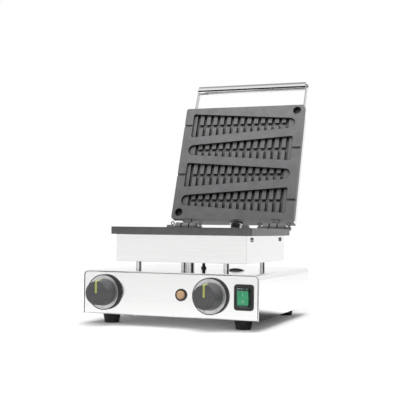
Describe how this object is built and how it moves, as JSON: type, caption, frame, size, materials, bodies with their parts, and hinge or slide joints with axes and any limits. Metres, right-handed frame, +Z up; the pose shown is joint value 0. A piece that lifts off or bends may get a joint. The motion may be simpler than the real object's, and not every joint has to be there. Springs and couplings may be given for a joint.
{
  "type": "lollipop waffle maker",
  "caption": "Countertop lollipop waffle maker: steel base with timer, thermostat, lamp and rocker, heater housing on pillars, hinged cast plates with tapered cavities, bar handle.",
  "frame": {"origin": "on the surface it stands on, under the middle of the whole object with its lid open", "axes": "+X to the right seen from the controls, +Y to the back, +Z up"},
  "size_m": [0.305, 0.4882, 0.4649],
  "materials": {
    "stainless": "brushed, satin",
    "cast_plate": "dark grey non-stick coating, matt",
    "chrome": "polished",
    "zinc": "zinc-plated, satin",
    "rubber": "matt black",
    "black_plastic": "fine satin black",
    "knob_plastic": "satin dark grey",
    "pointer_plastic": "yellow-green, satin",
    "scale_metal": "silver, printed marks",
    "amber_lens": "translucent amber",
    "boot_clear": "clear soft plastic",
    "rocker_green": "translucent green",
    "heater_steel": "heat-darkened",
    "mineral_wool": "matt fibre",
    "braid": "braided heat-proof sleeve",
    "ceramic": "off-white",
    "copper": "bare copper"
  },
  "bodies": {
    "base": {"base_cover": "stainless", "front_panel": "stainless", "rear_panel": "stainless", "bottom_plate": "stainless", "bottom_screws": "zinc", "rubber_feet": "rubber", "foot_screws": "zinc", "support_pillars": "chrome", "pillar_screws": "zinc", "pillar_nuts": "zinc", "wire_sleeve": "zinc", "probe_sleeve": "black_plastic", "probe_nut": "black_plastic", "vent_plug": "rubber", "lower_housing": "stainless", "lower_housing_screws": "zinc", "lower_plate": "cast_plate", "hinge_pins": "zinc", "split_pins": "chrome", "lower_heater": "heater_steel", "lower_heater_clamp": "zinc", "lower_clamp_screw": "zinc", "lower_insulation": "mineral_wool", "timer_bezel": "black_plastic", "timer_scale": "scale_metal", "thermostat_bezel": "black_plastic", "thermostat_scale": "scale_metal", "timer_body": "zinc", "thermostat_body": "zinc", "control_nuts": "zinc", "lamp_bezel": "chrome", "lamp_body": "black_plastic", "lamp_lens": "amber_lens", "switch_frame": "black_plastic", "switch_body": "black_plastic", "switch_boot": "boot_clear", "lower_lead_gland": "zinc", "housing_lead": "braid", "mains_gland": "black_plastic", "terminal_block": "ceramic", "thermostat_bulb": "copper", "capillary_tube": "copper"},
    "lid": {"lid_plate": "cast_plate", "lid_housing": "stainless", "lid_housing_screws": "zinc", "lid_insulation": "mineral_wool", "lid_heater": "heater_steel", "lid_heater_clamp": "zinc", "lid_clamp_screw": "zinc", "handle_arms": "stainless", "handle_grip": "stainless", "handle_screws": "zinc", "lid_lead_gland": "zinc"},
    "timer_dial": {"timer_knob": "knob_plastic", "timer_pointer": "pointer_plastic", "timer_shaft": "zinc"},
    "thermostat_dial": {"thermostat_knob": "knob_plastic", "thermostat_pointer": "pointer_plastic", "thermostat_shaft": "zinc"},
    "rocker_switch": {"rocker": "rocker_green"}
  },
  "joints": [
    {"name": "lid_hinge", "type": "hinge", "parent": "base", "child": "lid", "pos_m": [0, 0.09571, 0.1618], "axis": [1, 0, 0], "range_deg": [0, 109.4], "deforming": ["housing_lead"]},
    {"name": "timer_turn", "type": "hinge", "parent": "base", "child": "timer_dial", "pos_m": [-0.1125, -0.23109, 0.0533], "axis": [0, 1, 0], "range_deg": [0, 300]},
    {"name": "thermostat_turn", "type": "hinge", "parent": "base", "child": "thermostat_dial", "pos_m": [0.0733, -0.23109, 0.0533], "axis": [0, 1, 0], "range_deg": [0, 300]},
    {"name": "rocker_tilt", "type": "hinge", "parent": "base", "child": "rocker_switch", "pos_m": [0.128, -0.21109, 0.0533], "axis": [-1, 0, 0], "range_deg": [0, 12]}
  ]
}
